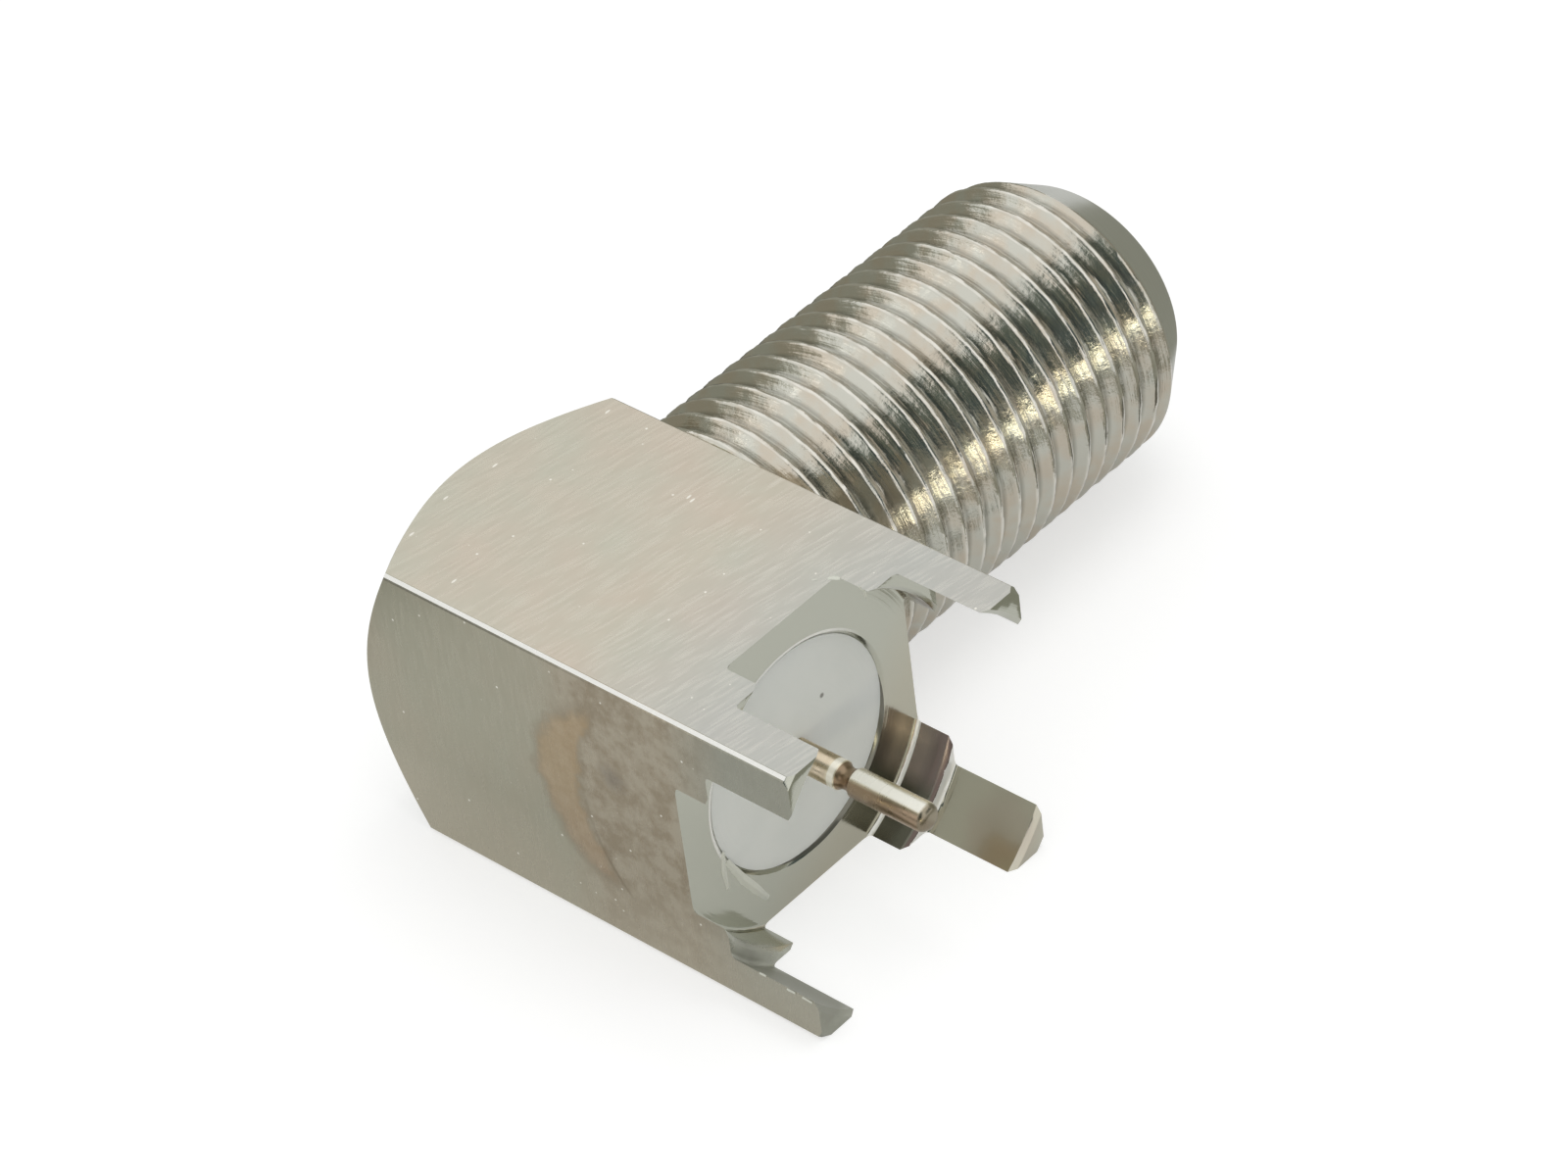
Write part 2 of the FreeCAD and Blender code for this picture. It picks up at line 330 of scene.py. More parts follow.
# The back is duller near the board, with brown mottles, the heat's crescent and a smudge.
flat_place = add_node(tree, "ShaderNodeCombineXYZ", {"X": axes.outputs["X"], "Z": axes.outputs["Z"]})
share = add_node(tree, "ShaderNodeMath", {0: axes.outputs["X"], 1: wander_mm}, operation="ADD")
share = add_node(tree, "ShaderNodeMapRange", {"Value": share, "From Min": -6.0, "From Max": -4.6})
share = add_node(tree, "ShaderNodeMath", {0: share, 1: on_back}, operation="MULTIPLY")
mottle = add_node(tree, "ShaderNodeMapRange", {"Value": wander, "From Min": 0.4, "From Max": 0.6})
mottle = add_node(tree, "ShaderNodeMix", {0: mottle, 6: colour("B4AB98"), 7: colour("A0947F")},
                  data_type="RGBA").outputs[2]
on_leg = add_node(tree, "ShaderNodeMapRange", {
    "Value": axes.outputs["X"], "From Min": -1.5, "From Max": 0.8, "To Min": 0.0, "To Max": 0.85})
mottle = add_node(tree, "ShaderNodeMix", {0: on_leg, 6: mottle, 7: colour("9FA195")},
                  data_type="RGBA").outputs[2]
base = add_node(tree, "ShaderNodeMix", {0: share, 6: base, 7: mottle}, data_type="RGBA").outputs[2]
# Painted reflection: the back is painted paler towards its foot.
share = add_node(tree, "ShaderNodeMapRange", {
    "Value": axes.outputs["Z"], "From Min": -bar_half_width_mm, "From Max": -1.5,
    "To Min": 0.6, "To Max": 0.0})
share = add_node(tree, "ShaderNodeMath", {0: share, 1: on_back}, operation="MULTIPLY")
base = add_node(tree, "ShaderNodeMix", {0: share, 6: base, 7: colour("D2CBB8")}, data_type="RGBA").outputs[2]

centre, radius = stain_outer_circle_mm
outer = add_node(tree, "ShaderNodeVectorMath", {0: flat_place, 1: centre},
                 operation="DISTANCE").outputs["Value"]
outer = add_node(tree, "ShaderNodeMath", {0: outer, 1: wander_mm}, operation="ADD")
outer = add_node(tree, "ShaderNodeMapRange", {
    "Value": outer, "From Min": radius - 0.5, "From Max": radius + 0.15, "To Min": 1.0, "To Max": 0.0})
centre, radius = stain_inner_circle_mm
inner = add_node(tree, "ShaderNodeVectorMath", {0: flat_place, 1: centre},
                 operation="DISTANCE").outputs["Value"]
line = add_node(tree, "ShaderNodeMath", {0: inner, 1: radius}, operation="SUBTRACT")
line = add_node(tree, "ShaderNodeMath", {0: line}, operation="ABSOLUTE")
line = add_node(tree, "ShaderNodeMapRange", {
    "Value": line, "From Min": 0.02, "From Max": 0.09, "To Min": 0.8, "To Max": 0.0})
below = add_node(tree, "ShaderNodeMapRange", {
    "Value": axes.outputs["Z"], "From Min": -3.4, "From Max": 0.6, "To Min": 1.0, "To Max": 0.0})
inner = add_node(tree, "ShaderNodeMath", {0: inner, 1: wander_mm}, operation="ADD")
inner = add_node(tree, "ShaderNodeMapRange", {
    "Value": inner, "From Min": radius - 0.15, "From Max": radius + 0.4})
stain = add_node(tree, "ShaderNodeMath", {0: outer, 1: inner}, operation="MULTIPLY")
stain = add_node(tree, "ShaderNodeMath", {0: stain, 1: on_back}, operation="MULTIPLY")
core = add_node(tree, "ShaderNodeMix", {0: below, 6: colour("BCA27C"), 7: colour("BAA38A")},
                data_type="RGBA").outputs[2]
rim = add_node(tree, "ShaderNodeMapRange", {"Value": stain, "From Min": 0.3, "From Max": 0.9})
mottled_core = add_node(tree, "ShaderNodeMix", {0: 0.35, 6: core, 7: mottle}, data_type="RGBA").outputs[2]
rim = add_node(tree, "ShaderNodeMix", {0: rim, 6: colour("978B76"), 7: mottled_core},
               data_type="RGBA").outputs[2]
share = add_node(tree, "ShaderNodeMapRange", {"Value": stain, "From Max": 0.7, "To Max": 0.8})
base = add_node(tree, "ShaderNodeMix", {0: share, 6: base, 7: rim}, data_type="RGBA").outputs[2]
share = add_node(tree, "ShaderNodeMath", {0: line, 1: below}, operation="MULTIPLY")
share = add_node(tree, "ShaderNodeMath", {0: share, 1: outer}, operation="MULTIPLY")
share = add_node(tree, "ShaderNodeMath", {0: share, 1: on_back}, operation="MULTIPLY")
base = add_node(tree, "ShaderNodeMix", {0: share, 6: base, 7: colour("857863")}, data_type="RGBA").outputs[2]

share = add_node(tree, "ShaderNodeVectorMath", {0: flat_place, 1: smudge_place_mm},
                 operation="DISTANCE").outputs["Value"]
share = add_node(tree, "ShaderNodeMath", {0: share, 1: wander_mm}, operation="ADD")
share = add_node(tree, "ShaderNodeMapRange", {
    "Value": share, "From Min": 0.1, "From Max": 0.6, "To Min": 0.6, "To Max": 0.0})
share = add_node(tree, "ShaderNodeMath", {0: share, 1: on_back}, operation="MULTIPLY")
base = add_node(tree, "ShaderNodeMix", {0: share, 6: base, 7: colour("7E756A")}, data_type="RGBA").outputs[2]

# Small pits lie all over the flats, painted white as bright glints, with the largest ones where the
# photograph has them.
cells = add_node(tree, "ShaderNodeTexVoronoi", {"Vector": place, "Scale": 1 / pit_spacing_mm})
nearest = add_node(tree, "ShaderNodeMath", {0: cells, 1: pit_spacing_mm}, operation="MULTIPLY")
for x, y in top_marks_mm:
    away = add_node(tree, "ShaderNodeVectorMath", {0: place, 1: (-x, -y, -bar_half_width_mm)},
                    operation="ADD")
    away = add_node(tree, "ShaderNodeVectorMath", {0: away, 1: (1.2, 0.42, 1.0)}, operation="MULTIPLY")
    away = add_node(tree, "ShaderNodeVectorMath", {0: away}, operation="LENGTH").outputs["Value"]
    away = add_node(tree, "ShaderNodeMath", {0: away, 1: 0.005}, operation="SUBTRACT")
    nearest = add_node(tree, "ShaderNodeMath", {0: nearest, 1: away}, operation="MINIMUM")
share = add_node(tree, "ShaderNodeMapRange", {
    "Value": nearest, "From Min": 0.6 * pit_radius_mm, "From Max": pit_radius_mm,
    "To Min": 1.0, "To Max": 0.0})
base = add_node(tree, "ShaderNodeMix", {0: share, 6: base, 7: colour("F6F3E8")}, data_type="RGBA").outputs[2]

# The turned faces are greener. By the barrel's lower leg the wall below the ledge is brown,
# darker towards the ledge and dark grey at its lower end, with a painted reflection of it on the
# ledge's strip beside it, and heat has browned the leg's hollow side.
base = add_node(tree, "ShaderNodeMix", {0: turned, 6: base, 7: colour("C4C5B8")}, data_type="RGBA").outputs[2]
from_pin = add_node(tree, "ShaderNodeCombineXYZ", {"Y": axes.outputs["Y"], "Z": axes.outputs["Z"]})
from_pin = add_node(tree, "ShaderNodeVectorMath", {0: from_pin}, operation="LENGTH").outputs["Value"]
ragged = add_node(tree, "ShaderNodeMath", {0: wander, 1: 0.3, 2: -0.15}, operation="MULTIPLY_ADD")
ragged = add_node(tree, "ShaderNodeMath", {0: ragged, 1: from_pin}, operation="ADD")
lower_leg = add_node(tree, "ShaderNodeMath", {0: axes.outputs["Y"], 1: axes.outputs["Z"]},
                     operation="SUBTRACT")
lower_leg = add_node(tree, "ShaderNodeMapRange", {
    "Value": lower_leg, "From Min": 2.0, "From Max": 5.0, "To Min": 0.0, "To Max": 0.9})
share = add_node(tree, "ShaderNodeMath", {0: lower_leg, 1: turned}, operation="MULTIPLY")
base = add_node(tree, "ShaderNodeMix", {0: share, 6: base, 7: colour("C5C1B0")}, data_type="RGBA").outputs[2]
share = add_node(tree, "ShaderNodeMapRange", {
    "Value": from_pin, "From Min": step_wall_radius_mm - 0.05, "From Max": step_wall_radius_mm})
above_floor = add_node(tree, "ShaderNodeMath", {0: axes.outputs["X"], 1: wall_foot_x_mm},
                       operation="GREATER_THAN")
wall_top = add_node(tree, "ShaderNodeMath", {0: ragged, 1: ledge_light_radius_mm}, operation="LESS_THAN")
share = add_node(tree, "ShaderNodeMath", {0: share, 1: above_floor}, operation="MULTIPLY")
share = add_node(tree, "ShaderNodeMath", {0: share, 1: wall_top}, operation="MULTIPLY")
share = add_node(tree, "ShaderNodeMath", {0: share, 1: lower_leg}, operation="MULTIPLY")
share = add_node(tree, "ShaderNodeMath", {0: share, 1: turned}, operation="MULTIPLY")
wall_tone = add_node(tree, "ShaderNodeMapRange", {
    "Value": axes.outputs["X"], "From Min": -0.75, "From Max": -0.4})
wall_tone = add_node(tree, "ShaderNodeMix", {0: wall_tone, 6: colour("D2C0B8"), 7: colour("857572")},
                   data_type="RGBA").outputs[2]
low_end = add_node(tree, "ShaderNodeMapRange", {
    "Value": axes.outputs["Z"], "From Min": -3.8, "From Max": -3.4, "To Min": 1.0, "To Max": 0.0})
wall_tone = add_node(tree, "ShaderNodeMix", {0: low_end, 6: wall_tone, 7: colour("5C5C50")},
                   data_type="RGBA").outputs[2]
base = add_node(tree, "ShaderNodeMix", {0: share, 6: base, 7: wall_tone}, data_type="RGBA").outputs[2]
# Painted reflection: the ledge's strip beside the wall is painted dark, as the wall mirrored in it.
ledge_painted_reflection = add_node(tree, "ShaderNodeMath", {0: axes.outputs["X"], 1: 0.0, 2: 0.08}, operation="COMPARE")
ledge_painted_reflection = add_node(tree, "ShaderNodeMath", {0: ledge_painted_reflection, 1: share}, operation="MULTIPLY")
base = add_node(tree, "ShaderNodeMix", {0: ledge_painted_reflection, 6: base, 7: colour("6A5C56")},
                data_type="RGBA").outputs[2]
dull = add_node(tree, "ShaderNodeMath", {0: share, 1: 0.25}, operation="MULTIPLY")
for spot_mm, reach_mm, stain_hex, dulling in leg_stains:
    share = add_node(tree, "ShaderNodeVectorMath", {0: place, 1: spot_mm},
                     operation="DISTANCE").outputs["Value"]
    share = add_node(tree, "ShaderNodeMath", {0: share, 1: wander_mm}, operation="ADD")
    share = add_node(tree, "ShaderNodeMapRange", {
        "Value": share, "From Min": 0.6 * reach_mm, "From Max": reach_mm, "To Min": 0.8, "To Max": 0.0})
    share = add_node(tree, "ShaderNodeMath", {0: share, 1: turned}, operation="MULTIPLY")
    base = add_node(tree, "ShaderNodeMix", {0: share, 6: base, 7: colour(stain_hex)},
                    data_type="RGBA").outputs[2]
    dull = add_node(tree, "ShaderNodeMath", {0: share, 1: dulling, 2: dull}, operation="MULTIPLY_ADD")

# Painted highlights, white with little metal: on the bar's long edge above the back, where z
# less y is greatest, the lower leg's ledge, the foot of the wall below it, and the disc's edge at
# the top. A dark line of painted shade runs below the long edge, and a painted shadow, a dark
# crescent, along the disc's lower edge.
long_edge = add_node(tree, "ShaderNodeMath", {0: axes.outputs["Z"], 1: axes.outputs["Y"]},
                     operation="SUBTRACT")
long_edge = add_node(tree, "ShaderNodeMath", {0: long_edge, 1: long_edge_starts_mm}, operation="GREATER_THAN")
upper_half = add_node(tree, "ShaderNodeMath", {0: axes.outputs["Z"], 1: long_edge_middle_z_mm},
                      operation="GREATER_THAN")
upper_half = add_node(tree, "ShaderNodeMath", {0: upper_half, 1: long_edge}, operation="MULTIPLY")
lower_half = add_node(tree, "ShaderNodeMath", {0: long_edge, 1: upper_half}, operation="SUBTRACT")
share = add_node(tree, "ShaderNodeMapRange", {
    "Value": axes.outputs["X"], "From Min": -8.0, "From Max": -2.0, "To Min": 0.9, "To Max": 0.2})
share = add_node(tree, "ShaderNodeMath", {0: lower_half, 1: share}, operation="MULTIPLY")
base = add_node(tree, "ShaderNodeMix", {0: share, 6: base, 7: colour("78766B")}, data_type="RGBA").outputs[2]
on_ledge = add_node(tree, "ShaderNodeMath", {0: axes.outputs["X"], 1: 0.0, 2: 0.05}, operation="COMPARE")
in_light = add_node(tree, "ShaderNodeMath", {0: 1.0, 1: wall_top}, operation="SUBTRACT")
inside_leg = add_node(tree, "ShaderNodeMath", {0: from_pin, 1: leg_side_radius_mm}, operation="LESS_THAN")
on_ledge = add_node(tree, "ShaderNodeMath", {0: on_ledge, 1: in_light}, operation="MULTIPLY")
on_ledge = add_node(tree, "ShaderNodeMath", {0: on_ledge, 1: inside_leg}, operation="MULTIPLY")
wall_foot = add_node(tree, "ShaderNodeMath", {0: from_pin, 1: step_wall_radius_mm}, operation="GREATER_THAN")
foot_height = add_node(tree, "ShaderNodeMath", {0: axes.outputs["X"], 1: wall_foot_x_mm},
                       operation="LESS_THAN")
wall_foot = add_node(tree, "ShaderNodeMath", {0: wall_foot, 1: foot_height}, operation="MULTIPLY")
painted_highlight = add_node(tree, "ShaderNodeMath", {0: on_ledge, 1: wall_foot}, operation="MAXIMUM")
painted_highlight = add_node(tree, "ShaderNodeMath", {0: painted_highlight, 1: lower_leg}, operation="MULTIPLY")
to_lower_right = add_node(tree, "ShaderNodeVectorMath", {0: place, 1: (0.0, 0.6, -0.8)},
                          operation="DOT_PRODUCT")
to_lower_right = to_lower_right.outputs["Value"]
in_pocket = add_node(tree, "ShaderNodeMath", {0: axes.outputs["X"], 1: pocket_x_mm}, operation="GREATER_THAN")
in_pocket = add_node(tree, "ShaderNodeMath", {0: in_pocket, 1: turned}, operation="MULTIPLY")
disc_edge = add_node(tree, "ShaderNodeMath", {0: from_pin, 1: disc_edge_radius_mm, 2: 0.09},
                     operation="COMPARE")
share = add_node(tree, "ShaderNodeMapRange", {
    "Value": to_lower_right, "From Min": -1.5, "From Max": 0.0, "To Min": 0.8, "To Max": 0.0})
share = add_node(tree, "ShaderNodeMath", {0: disc_edge, 1: share}, operation="MULTIPLY")
painted_highlight = add_node(tree, "ShaderNodeMath", {0: painted_highlight, 1: share}, operation="MAXIMUM")
painted_highlight = add_node(tree, "ShaderNodeMath", {0: painted_highlight, 1: in_pocket}, operation="MULTIPLY")
painted_highlight = add_node(tree, "ShaderNodeMath", {0: painted_highlight, 1: upper_half}, operation="MAXIMUM")
# Painted shadow: a dark crescent along the disc's lower edge, with less metal.
crescent_mm = add_node(tree, "ShaderNodeMapRange", {
    "Value": to_lower_right, "From Min": 1.6, "From Max": 3.2, "To Min": 0.0, "To Max": 0.14})
crescent_mm = add_node(tree, "ShaderNodeMath", {0: crescent_mm, 1: crescent_radius_mm}, operation="ADD")
crescent = add_node(tree, "ShaderNodeMath", {0: from_pin, 1: crescent_mm}, operation="LESS_THAN")
crescent = add_node(tree, "ShaderNodeMath", {0: crescent, 1: in_pocket}, operation="MULTIPLY")
crescent = add_node(tree, "ShaderNodeMath", {0: crescent, 1: 0.85}, operation="MULTIPLY")
base = add_node(tree, "ShaderNodeMix", {0: crescent, 6: base, 7: colour("67655B")},
                data_type="RGBA").outputs[2]
# The painted highlights are near white with little metal.
base = add_node(tree, "ShaderNodeMix", {0: painted_highlight, 6: base, 7: colour("FBFAF4")}, data_type="RGBA").outputs[2]
metal = add_node(tree, "ShaderNodeMath", {0: painted_highlight, 1: -0.9, 2: 1.0}, operation="MULTIPLY_ADD")
metal = add_node(tree, "ShaderNodeMath", {0: crescent, 1: -0.5, 2: metal}, operation="MULTIPLY_ADD")
metal = add_node(tree, "ShaderNodeMath", {0: metal, 1: dull}, operation="SUBTRACT", use_clamp=True)

rings = add_node(tree, "ShaderNodeTexNoise", {"W": from_pin, "Scale": 1 / turning_ring_mm, "Detail": 2.0},
                 noise_dimensions="1D")
height = add_node(tree, "ShaderNodeMix", {0: turned, 2: lines, 3: rings}, data_type="FLOAT")
rough = add_node(tree, "ShaderNodeMapRange", {
    "Value": lines, "From Min": 0.3, "From Max": 0.7, "To Min": 0.36, "To Max": 0.24})
rough = add_node(tree, "ShaderNodeMix", {0: turned, 2: rough, 3: 0.14}, data_type="FLOAT")
rough = add_node(tree, "ShaderNodeMix", {0: dull, 2: rough, 3: 0.6}, data_type="FLOAT")
bump = add_node(tree, "ShaderNodeBump", {"Height": height, "Strength": 0.07, "Distance": 0.03 * mm})
shader = add_node(tree, "ShaderNodeBsdfPrincipled",
                  {"Base Color": base, "Metallic": metal, "Roughness": rough, "Normal": bump})
tree.links.new(shader.outputs[0], surface)


def merged_copy(name, node, material, sharp_deg=None, seam_mm=0.001, flat_deg=1.0):
    """A copy of a CAD node's mesh as one closed skin, with round faces smooth."""
    skin = bmesh.new()
    skin.from_mesh(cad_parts[node].data)
    bmesh.ops.remove_doubles(skin, verts=skin.verts, dist=seam_mm * mm)
    bmesh.ops.dissolve_limit(skin, angle_limit=math.radians(flat_deg), verts=skin.verts, edges=skin.edges)
    mesh = bpy.data.meshes.new(name)
    skin.to_mesh(mesh)
    skin.free()
    mesh.polygons.foreach_set("use_smooth", [True] * len(mesh.polygons))
    if sharp_deg:
        mesh.set_sharp_from_angle(angle=math.radians(sharp_deg))
    return new_piece(name, mesh, material)


def as_plain_mesh(piece):
    """Turns what a piece's modifiers give into its own mesh."""
    mesh = bpy.data.meshes.new_from_object(piece.evaluated_get(bpy.context.evaluated_depsgraph_get()))
    mesh.name = piece.name
    piece.modifiers.clear()
    piece.data = mesh


body = merged_copy("body", "housing", satin_nickel)
half_width = cad_high.z
marked = body.data.attributes.new("turned", "FLOAT", "FACE")
for face in body.data.polygons:
    outmost = max(abs(face.center.y), abs(face.center.z))
    drawn = abs(face.normal.x) < 0.1 and outmost > half_width - drawn_skin_mm * mm
    marked.data[face.index].value = 0.0 if drawn else 1.0
rounding = body.modifiers.new("edge_round", "BEVEL")
rounding.width = edge_round_mm * mm
rounding.segments = 3
rounding.limit_method = "ANGLE"
rounding.angle_limit = math.radians(rounded_edge_deg)
levelling = body.modifiers.new("level_normals", "WEIGHTED_NORMAL")
levelling.keep_sharp = True
as_plain_mesh(body)
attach(body, "root")
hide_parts("housing")


# The burrs: thin shreds of brass that the cutters left on the pocket's floor and edges, plated
# over with the body. They are too small for solids of their own. Each is a path, the way it
# stands out, its width and its height.
shreds_mm = (
    (((-1.25, -3.34, -1.13), (-1.245, -3.42, -1.75), (-1.25, -3.36, -2.49)), (1, 0, 0), 0.20, 0.03),
    (((-1.25, -3.25, -1.55), (-1.245, -2.75, -2.60), (-1.245, -2.35, -3.25), (-1.25, -1.92, -3.95)),
     (1, 0, 0), 0.30, 0.035),
    (((-1.38, 2.08, 4.75), (-1.25, 2.20, 4.76), (-1.10, 2.27, 4.75)), (0, 0, 1), 0.18, 0.05),
    (((-1.70, 1.80, 4.75), (-1.60, 1.88, 4.755)), (0, 0, 1), 0.10, 0.03),
    (((-0.44, 2.30, 4.76), (-0.32, 2.33, 4.66), (-0.30, 2.36, 4.42)), (0, -1, 0), 0.14, 0.05),
    (((1.02, -4.75, -3.32), (1.25, -4.76, -3.30)), (0, -1, 0), 0.16, 0.05),
    (((2.00, -4.75, -3.38), (2.30, -4.76, -3.36)), (0, -1, 0), 0.16, 0.05),
    (((2.55, -4.75, -3.38), (2.90, -4.76, -3.38)), (0, -1, 0), 0.14, 0.05))


def shred(skin, path_mm, outward, width_mm, height_mm):
    """Adds a flat shred with narrow ends along a path."""
    points = [Vector(point) for point in path_mm]
    outward = Vector(outward)
    sections = []
    for k, point in enumerate(points):
        along = (points[min(k + 1, len(points) - 1)] - points[max(k - 1, 0)]).normalized()
        side = along.cross(outward).normalized()
        share = 0.6 if k in (0, len(points) - 1) else 1.0
        corners = [side * width_mm / 2, outward * height_mm, -side * width_mm / 2, -outward * height_mm / 2]
        sections.append([skin.verts.new((point + corner * share) * mm) for corner in corners])
    for low, high in zip(sections, sections[1:]):
        for k in range(4):
            skin.faces.new((low[k], low[k - 1], high[k - 1], high[k]))
    skin.faces.new(sections[0])
    skin.faces.new(sections[-1])


skin = bmesh.new()
for path_mm, outward, width_mm, height_mm in shreds_mm:
    shred(skin, path_mm, outward, width_mm, height_mm)
bmesh.ops.recalc_face_normals(skin, faces=skin.faces)
mesh = bpy.data.meshes.new("burrs")
skin.to_mesh(mesh)
skin.free()

# Thin plating on a ragged shred scatters the light and looks almost white.
rough_nickel, tree, surface = new_material("rough_nickel_plate")
shader = add_node(tree, "ShaderNodeBsdfPrincipled",
                  {"Base Color": colour("DEDFD2"), "Metallic": 0.15, "Roughness": 0.6})
tree.links.new(shader.outputs[0], surface)
burrs = new_piece("burrs", mesh, rough_nickel)
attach(burrs, "root")


# The barrel: turned brass with a rolled 3/8-32 thread that runs from the bar's side out onto
# the nose's chamfer, bright nickel plated, and pressed into the body by its spigot.
barrel_axis_x_mm = -7.84
thread_pitch_mm = 0.794
thread_top_mm = 4.725
thread_bottom_mm = 4.36
thread_start_mm = 4.75
chamfer_start_mm = 18.80
thread_end_mm = 19.40
flank_share = 0.875
seam_mm = 0.0005
sharp_edge_deg = 50
pattern_radius_mm = 4.7
fine_ring_mm = 0.0714
fine_ring_length_mm = 2.86
patch_mm = 0.909
scuff_mm = 0.1667
wave_mm = 0.625
dent_mm = 0.4167
dent_depth_mm = 0.035
ridge_wobble = 0.12
chamfer_deg = 33.0
chamfer_slope = math.tan(math.radians(chamfer_deg))
thread_end_radius_mm = thread_top_mm - (thread_end_mm - chamfer_start_mm) * chamfer_slope
spigot_radius_mm = 3.8
rows_per_pitch = 16
around = 144

# Bright nickel mirrors almost sharply. The rolled thread has fine rings along it, tops painted
# pale as wear and painted highlight, and grime with painted shade low on its flanks, with less in
# the very bottom. The nose is duller.
bright_nickel, tree, surface = new_material("bright_nickel_plate")
place = place_in_mm(tree)
centred = add_node(tree, "ShaderNodeVectorMath", {0: place, 1: (-barrel_axis_x_mm, 0.0, 0.0)},
                   operation="ADD")
axes = add_node(tree, "ShaderNodeSeparateXYZ", {0: centred})
across = add_node(tree, "ShaderNodeCombineXYZ", {"X": axes.outputs["X"], "Z": axes.outputs["Z"]})
radius = add_node(tree, "ShaderNodeVectorMath", {0: across}, operation="LENGTH").outputs["Value"]
depth = add_node(tree, "ShaderNodeMapRange",
                 {"Value": radius, "From Min": thread_bottom_mm, "From Max": thread_top_mm})
fine_rings = (1 / fine_ring_length_mm, 1 / fine_ring_mm, 1 / fine_ring_length_mm)
ringed = add_node(tree, "ShaderNodeVectorMath", {0: centred, 1: fine_rings}, operation="MULTIPLY")
rings = add_node(tree, "ShaderNodeTexNoise", {"Vector": ringed, "Scale": 1.0, "Detail": 3.0})
patches = add_node(tree, "ShaderNodeTexNoise", {"Vector": centred, "Scale": 1 / patch_mm, "Detail": 4.0})
share = add_node(tree, "ShaderNodeMapRange", {"Value": patches, "From Min": 0.4, "From Max": 0.62})
base = add_node(tree, "ShaderNodeMix", {0: share, 6: colour("CBCABF"), 7: colour("CBC2B2")},
                data_type="RGBA").outputs[2]
threaded = add_node(tree, "ShaderNodeMath", {0: axes.outputs["Y"], 1: thread_end_mm - 0.3},
                    operation="LESS_THAN")
# Painted shade with grime: darker low on the flanks, less in the very bottom.
share = add_node(tree, "ShaderNodeMapRange", {
    "Value": depth, "From Min": 0.02, "From Max": 0.35, "To Min": 0.8, "To Max": 0.0})
less_in_root = add_node(tree, "ShaderNodeMapRange", {
    "Value": depth, "From Min": 0.05, "From Max": 0.13, "To Min": 0.4})
share = add_node(tree, "ShaderNodeMath", {0: share, 1: less_in_root}, operation="MULTIPLY")
share = add_node(tree, "ShaderNodeMath", {0: share, 1: threaded}, operation="MULTIPLY")
base = add_node(tree, "ShaderNodeMix", {0: share, 6: base, 7: colour("77766B")}, data_type="RGBA").outputs[2]
# Painted highlight with wear: the tops are paler.
share = add_node(tree, "ShaderNodeMapRange", {
    "Value": depth, "From Min": 0.9, "From Max": 0.97, "To Max": 0.8})
base = add_node(tree, "ShaderNodeMix", {0: share, 6: base, 7: colour("ECE9E0")}, data_type="RGBA").outputs[2]
base = add_node(tree, "ShaderNodeMix", {0: threaded, 6: colour("CDCEC6"), 7: base},
                data_type="RGBA").outputs[2]
rough = add_node(tree, "ShaderNodeMapRange", {
    "Value": rings, "From Min": 0.3, "From Max": 0.7, "To Min": 0.09, "To Max": 0.20})
rough = add_node(tree, "ShaderNodeMix", {0: threaded, 2: 0.30, 3: rough}, data_type="FLOAT")
scuffs = add_node(tree, "ShaderNodeTexNoise", {
    "Vector": centred, "Scale": 1 / scuff_mm, "Detail": 4.0, "Roughness": 0.6})
scuffs = add_node(tree, "ShaderNodeMath", {0: scuffs, 1: threaded}, operation="MULTIPLY")
height = add_node(tree, "ShaderNodeMath", {0: scuffs, 1: 0.8, 2: rings}, operation="MULTIPLY_ADD")
bump = add_node(tree, "ShaderNodeBump", {"Height": height, "Strength": 0.6, "Distance": 0.02 * mm})
shader = add_node(tree, "ShaderNodeBsdfPrincipled",
                  {"Base Color": base, "Metallic": 1.0, "Roughness": rough, "Normal": bump})
tree.links.new(shader.outputs[0], surface)

# The thread is a grid wound on a helix: one row follows each line along the ridge. A row that
# would pass an end of the thread stops in the end's plane, where its points merge.
tree = bpy.data.node_groups.new("helical_thread", "GeometryNodeTree")
for name in ("Pitch", "Top Radius", "Bottom Radius", "Flank Share", "Start", "End", "Start Radius",
             "End Radius", "End Slope", "Axis X", "Row Spacing", "Seam", "Waves", "Wobble", "Dents",
             "Dent Depth"):
    tree.interface.new_socket(name, in_out="INPUT", socket_type="NodeSocketFloat")
for name in ("Rows", "Segments"):
    tree.interface.new_socket(name, in_out="INPUT", socket_type="NodeSocketInt")
tree.interface.new_socket("Metal", in_out="INPUT", socket_type="NodeSocketMaterial")
tree.interface.new_socket("Geometry", in_out="OUTPUT", socket_type="NodeSocketGeometry")
given = tree.nodes.new("NodeGroupInput").outputs

